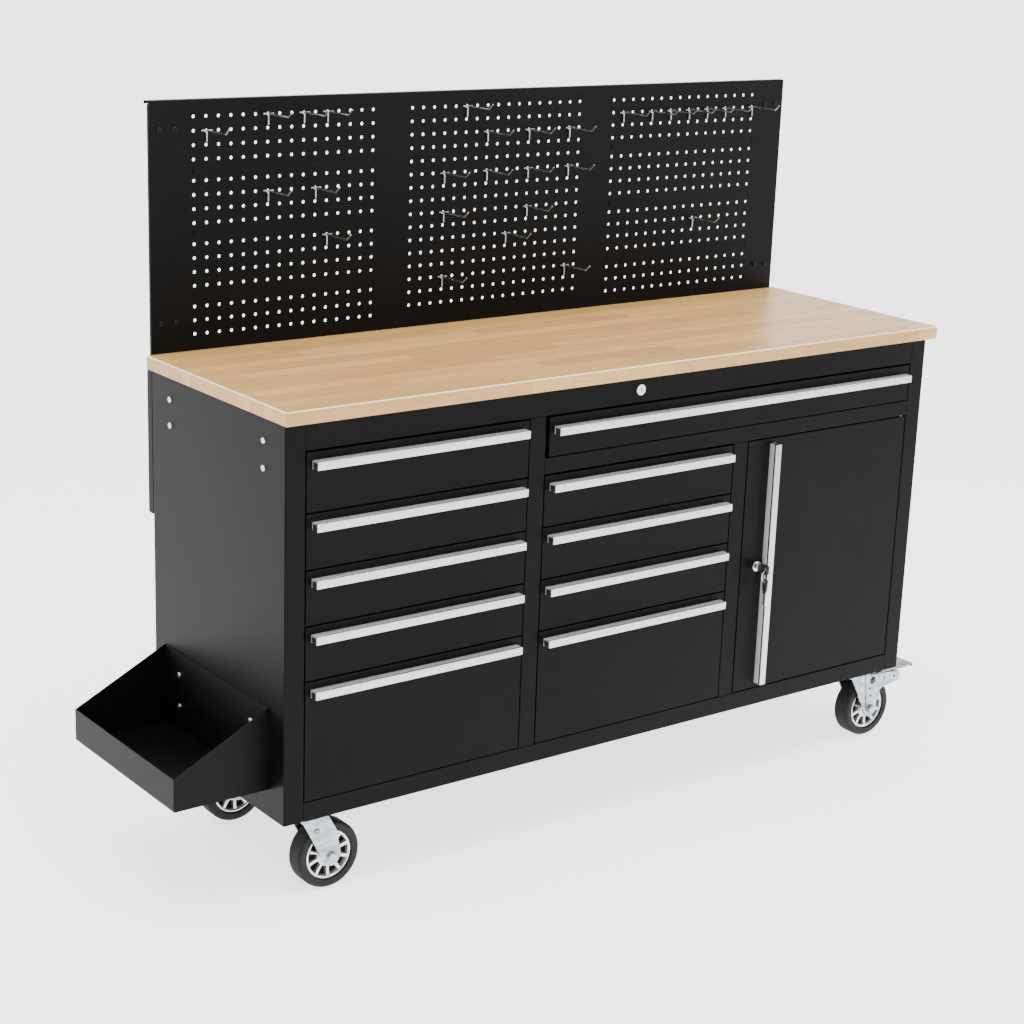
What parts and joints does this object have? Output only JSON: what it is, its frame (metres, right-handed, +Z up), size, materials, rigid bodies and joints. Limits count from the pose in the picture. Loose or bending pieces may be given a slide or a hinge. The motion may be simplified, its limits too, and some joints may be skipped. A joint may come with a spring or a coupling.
{
  "type": "mobile workbench with drawers",
  "caption": "Mobile steel workbench with drawers, a cupboard, a wood top, a pegboard back wall with hooks, a side bin and swivel casters.",
  "frame": {"origin": "middle of the footprint, on the floor under the wheels", "axes": "+X along the bench from the bin side to the cupboard side, +Y from the drawers to the back, +Z up"},
  "size_m": [1.7876, 0.531, 1.359],
  "materials": {
    "wood_top": "oiled butcher block, satin",
    "cabinet_black": "fine-textured satin black powder coat",
    "board_black": "matt black powder coat",
    "handle_aluminium": "satin anodised",
    "zinc_steel": "bright zinc plate",
    "lock_chrome": "polished",
    "key_plastic": "moulded",
    "wheel": "black rubber on a bright spoked rim"
  },
  "bodies": {
    "cabinet": {"worktop": "wood_top", "side_panel_left": "cabinet_black", "side_panel_right": "cabinet_black", "back_panel": "cabinet_black", "floor_panel": "cabinet_black", "cabinet_frame": "cabinet_black", "inner_partitions": "cabinet_black", "slide_rails": "zinc_steel", "drawer_lock_housing": "lock_chrome", "side_tray": "board_black", "pegboard": "board_black", "pegboard_posts": "board_black", "pegboard_hooks": "zinc_steel", "screws_and_pins": "zinc_steel", "caster_plates": "zinc_steel"},
    "drawer_left_1": {"drawer_left_1": "cabinet_black", "handle_left_1": "handle_aluminium"},
    "slide_left_1": {"slide_middle_left_1": "zinc_steel"},
    "drawer_left_2": {"drawer_left_2": "cabinet_black", "handle_left_2": "handle_aluminium"},
    "slide_left_2": {"slide_middle_left_2": "zinc_steel"},
    "drawer_left_3": {"drawer_left_3": "cabinet_black", "handle_left_3": "handle_aluminium"},
    "slide_left_3": {"slide_middle_left_3": "zinc_steel"},
    "drawer_left_4": {"drawer_left_4": "cabinet_black", "handle_left_4": "handle_aluminium"},
    "slide_left_4": {"slide_middle_left_4": "zinc_steel"},
    "drawer_left_5": {"drawer_left_5": "cabinet_black", "handle_left_5": "handle_aluminium"},
    "slide_left_5": {"slide_middle_left_5": "zinc_steel"},
    "drawer_middle_1": {"drawer_middle_1": "cabinet_black", "handle_middle_1": "handle_aluminium"},
    "slide_middle_1": {"slide_middle_middle_1": "zinc_steel"},
    "drawer_middle_2": {"drawer_middle_2": "cabinet_black", "handle_middle_2": "handle_aluminium"},
    "slide_middle_2": {"slide_middle_middle_2": "zinc_steel"},
    "drawer_middle_3": {"drawer_middle_3": "cabinet_black", "handle_middle_3": "handle_aluminium"},
    "slide_middle_3": {"slide_middle_middle_3": "zinc_steel"},
    "drawer_middle_4": {"drawer_middle_4": "cabinet_black", "handle_middle_4": "handle_aluminium"},
    "slide_middle_4": {"slide_middle_middle_4": "zinc_steel"},
    "drawer_long": {"drawer_long": "cabinet_black", "handle_long": "handle_aluminium"},
    "slide_long": {"slide_middle_long": "zinc_steel"},
    "door": {"door": "cabinet_black", "door_handle": "handle_aluminium"},
    "door_lock": {"door_lock_plug": "lock_chrome", "door_key": "key_plastic", "key_ring": "lock_chrome", "spare_key": "key_plastic"},
    "drawer_lock": {"drawer_lock_plug": "lock_chrome"},
    "caster_fork_front_left": {"caster_fork_front_left": "zinc_steel"},
    "caster_wheel_front_left": {"caster_wheel_front_left": "wheel"},
    "caster_fork_front_right": {"caster_fork_front_right": "zinc_steel"},
    "caster_wheel_front_right": {"caster_wheel_front_right": "wheel"},
    "brake_pedal_front": {"brake_pedal_front": "zinc_steel"},
    "caster_fork_rear_left": {"caster_fork_rear_left": "zinc_steel"},
    "caster_wheel_rear_left": {"caster_wheel_rear_left": "wheel"},
    "caster_fork_rear_right": {"caster_fork_rear_right": "zinc_steel"},
    "caster_wheel_rear_right": {"caster_wheel_rear_right": "wheel"},
    "brake_pedal_rear": {"brake_pedal_rear": "zinc_steel"}
  },
  "joints": [
    {"name": "drawer_left_1_slide", "type": "slide", "parent": "cabinet", "child": "drawer_left_1", "axis": [0, -1, 0], "range_m": [0, 0.38]},
    {"name": "slide_left_1_extend", "type": "slide", "parent": "cabinet", "child": "slide_left_1", "axis": [0, -1, 0], "range_m": [0, 0.19]},
    {"name": "drawer_left_2_slide", "type": "slide", "parent": "cabinet", "child": "drawer_left_2", "axis": [0, -1, 0], "range_m": [0, 0.38]},
    {"name": "slide_left_2_extend", "type": "slide", "parent": "cabinet", "child": "slide_left_2", "axis": [0, -1, 0], "range_m": [0, 0.19]},
    {"name": "drawer_left_3_slide", "type": "slide", "parent": "cabinet", "child": "drawer_left_3", "axis": [0, -1, 0], "range_m": [0, 0.38]},
    {"name": "slide_left_3_extend", "type": "slide", "parent": "cabinet", "child": "slide_left_3", "axis": [0, -1, 0], "range_m": [0, 0.19]},
    {"name": "drawer_left_4_slide", "type": "slide", "parent": "cabinet", "child": "drawer_left_4", "axis": [0, -1, 0], "range_m": [0, 0.38]},
    {"name": "slide_left_4_extend", "type": "slide", "parent": "cabinet", "child": "slide_left_4", "axis": [0, -1, 0], "range_m": [0, 0.19]},
    {"name": "drawer_left_5_slide", "type": "slide", "parent": "cabinet", "child": "drawer_left_5", "axis": [0, -1, 0], "range_m": [0, 0.38]},
    {"name": "slide_left_5_extend", "type": "slide", "parent": "cabinet", "child": "slide_left_5", "axis": [0, -1, 0], "range_m": [0, 0.19]},
    {"name": "drawer_middle_1_slide", "type": "slide", "parent": "cabinet", "child": "drawer_middle_1", "axis": [0, -1, 0], "range_m": [0, 0.38]},
    {"name": "slide_middle_1_extend", "type": "slide", "parent": "cabinet", "child": "slide_middle_1", "axis": [0, -1, 0], "range_m": [0, 0.19]},
    {"name": "drawer_middle_2_slide", "type": "slide", "parent": "cabinet", "child": "drawer_middle_2", "axis": [0, -1, 0], "range_m": [0, 0.38]},
    {"name": "slide_middle_2_extend", "type": "slide", "parent": "cabinet", "child": "slide_middle_2", "axis": [0, -1, 0], "range_m": [0, 0.19]},
    {"name": "drawer_middle_3_slide", "type": "slide", "parent": "cabinet", "child": "drawer_middle_3", "axis": [0, -1, 0], "range_m": [0, 0.38]},
    {"name": "slide_middle_3_extend", "type": "slide", "parent": "cabinet", "child": "slide_middle_3", "axis": [0, -1, 0], "range_m": [0, 0.19]},
    {"name": "drawer_middle_4_slide", "type": "slide", "parent": "cabinet", "child": "drawer_middle_4", "axis": [0, -1, 0], "range_m": [0, 0.38]},
    {"name": "slide_middle_4_extend", "type": "slide", "parent": "cabinet", "child": "slide_middle_4", "axis": [0, -1, 0], "range_m": [0, 0.19]},
    {"name": "drawer_long_slide", "type": "slide", "parent": "cabinet", "child": "drawer_long", "axis": [0, -1, 0], "range_m": [0, 0.38]},
    {"name": "slide_long_extend", "type": "slide", "parent": "cabinet", "child": "slide_long", "axis": [0, -1, 0], "range_m": [0, 0.19]},
    {"name": "door_hinge", "type": "hinge", "parent": "cabinet", "child": "door", "pos_m": [0.76468, -0.22355, 0.45675], "axis": [0, 0, 1], "range_deg": [0, 110]},
    {"name": "door_lock_turn", "type": "hinge", "parent": "door", "child": "door_lock", "pos_m": [0.37918, -0.22955, 0.45675], "axis": [0, 1, 0], "range_deg": [0, 90]},
    {"name": "drawer_lock_turn", "type": "hinge", "parent": "cabinet", "child": "drawer_lock", "pos_m": [0.05318, -0.22955, 0.854], "axis": [0, 1, 0], "range_deg": [0, 90]},
    {"name": "caster_swivel_front_left", "type": "hinge", "parent": "cabinet", "child": "caster_fork_front_left", "pos_m": [-0.62882, -0.17855, 0.144], "axis": [0, 0, 1], "continuous": true},
    {"name": "wheel_spin_front_left", "type": "hinge", "parent": "caster_fork_front_left", "child": "caster_wheel_front_left", "pos_m": [-0.59482, -0.17855, 0.0635], "axis": [0, 1, 0], "continuous": true},
    {"name": "caster_swivel_front_right", "type": "hinge", "parent": "cabinet", "child": "caster_fork_front_right", "pos_m": [0.73518, -0.17855, 0.144], "axis": [0, 0, 1], "continuous": true},
    {"name": "wheel_spin_front_right", "type": "hinge", "parent": "caster_fork_front_right", "child": "caster_wheel_front_right", "pos_m": [0.76918, -0.17855, 0.0635], "axis": [0, 1, 0], "continuous": true},
    {"name": "brake_press_front", "type": "hinge", "parent": "caster_fork_front_right", "child": "brake_pedal_front", "pos_m": [0.79118, -0.17855, 0.131], "axis": [0, 1, 0], "range_deg": [0, 8]},
    {"name": "caster_swivel_rear_left", "type": "hinge", "parent": "cabinet", "child": "caster_fork_rear_left", "pos_m": [-0.62882, 0.15845, 0.144], "axis": [0, 0, 1], "continuous": true},
    {"name": "wheel_spin_rear_left", "type": "hinge", "parent": "caster_fork_rear_left", "child": "caster_wheel_rear_left", "pos_m": [-0.59482, 0.15845, 0.0635], "axis": [0, 1, 0], "continuous": true},
    {"name": "caster_swivel_rear_right", "type": "hinge", "parent": "cabinet", "child": "caster_fork_rear_right", "pos_m": [0.73518, 0.15845, 0.144], "axis": [0, 0, 1], "continuous": true},
    {"name": "wheel_spin_rear_right", "type": "hinge", "parent": "caster_fork_rear_right", "child": "caster_wheel_rear_right", "pos_m": [0.76918, 0.15845, 0.0635], "axis": [0, 1, 0], "continuous": true},
    {"name": "brake_press_rear", "type": "hinge", "parent": "caster_fork_rear_right", "child": "brake_pedal_rear", "pos_m": [0.79118, 0.15845, 0.131], "axis": [0, 1, 0], "range_deg": [0, 8]}
  ],
  "couplings": [
    {"joint": "slide_left_1_extend", "follows": "drawer_left_1_slide", "ratio": 0.5},
    {"joint": "slide_left_2_extend", "follows": "drawer_left_2_slide", "ratio": 0.5},
    {"joint": "slide_left_3_extend", "follows": "drawer_left_3_slide", "ratio": 0.5},
    {"joint": "slide_left_4_extend", "follows": "drawer_left_4_slide", "ratio": 0.5},
    {"joint": "slide_left_5_extend", "follows": "drawer_left_5_slide", "ratio": 0.5},
    {"joint": "slide_middle_1_extend", "follows": "drawer_middle_1_slide", "ratio": 0.5},
    {"joint": "slide_middle_2_extend", "follows": "drawer_middle_2_slide", "ratio": 0.5},
    {"joint": "slide_middle_3_extend", "follows": "drawer_middle_3_slide", "ratio": 0.5},
    {"joint": "slide_middle_4_extend", "follows": "drawer_middle_4_slide", "ratio": 0.5},
    {"joint": "slide_long_extend", "follows": "drawer_long_slide", "ratio": 0.5}
  ]
}
